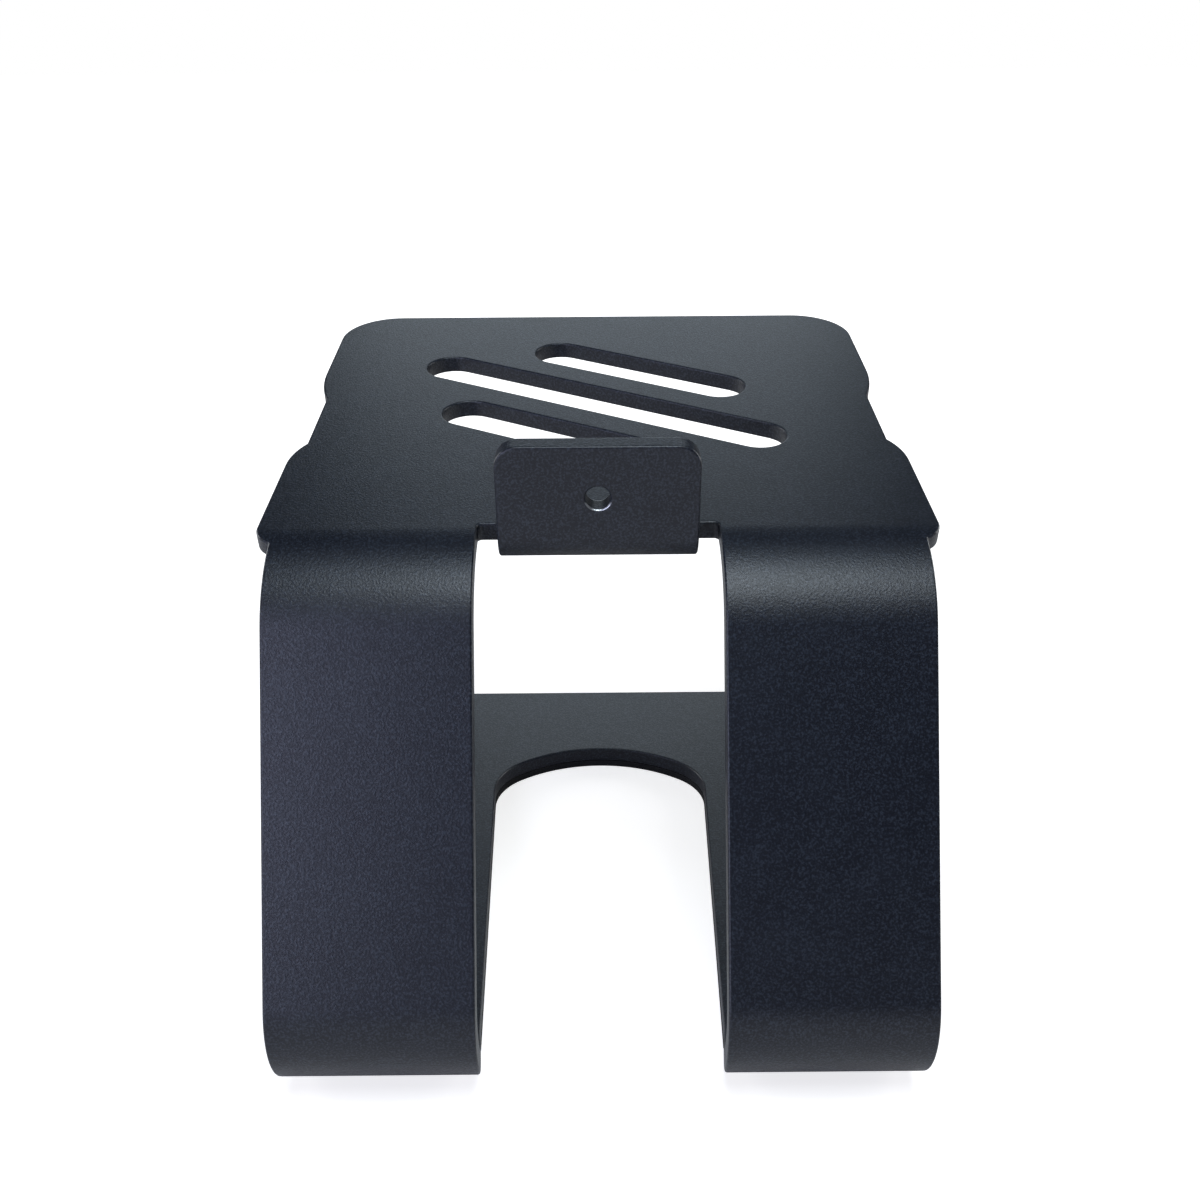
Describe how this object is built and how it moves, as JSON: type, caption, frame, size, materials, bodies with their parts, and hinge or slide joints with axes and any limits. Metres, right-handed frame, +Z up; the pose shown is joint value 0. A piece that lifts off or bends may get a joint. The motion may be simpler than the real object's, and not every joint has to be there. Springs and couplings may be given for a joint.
{
  "type": "desktop speaker stand",
  "caption": "Desktop stand bent from sheet steel: a flat base with an arched opening, leaning legs, a tilted slotted plate and an upright back tab.",
  "frame": {"origin": "on the desk under the middle of the stand's bounding box", "axes": "+Z up, +Y forward to the free edge of the plate and base, legs and tab at -Y, +X to the right for someone who looks along +Y"},
  "size_m": [0.169, 0.2062, 0.1587],
  "materials": {
    "powder_coat": "satin fine-texture powder coat",
    "pad_rubber": "matte"
  },
  "bodies": {
    "root": {"stand_body": "powder_coat", "base_pad": "pad_rubber"}
  },
  "joints": []
}
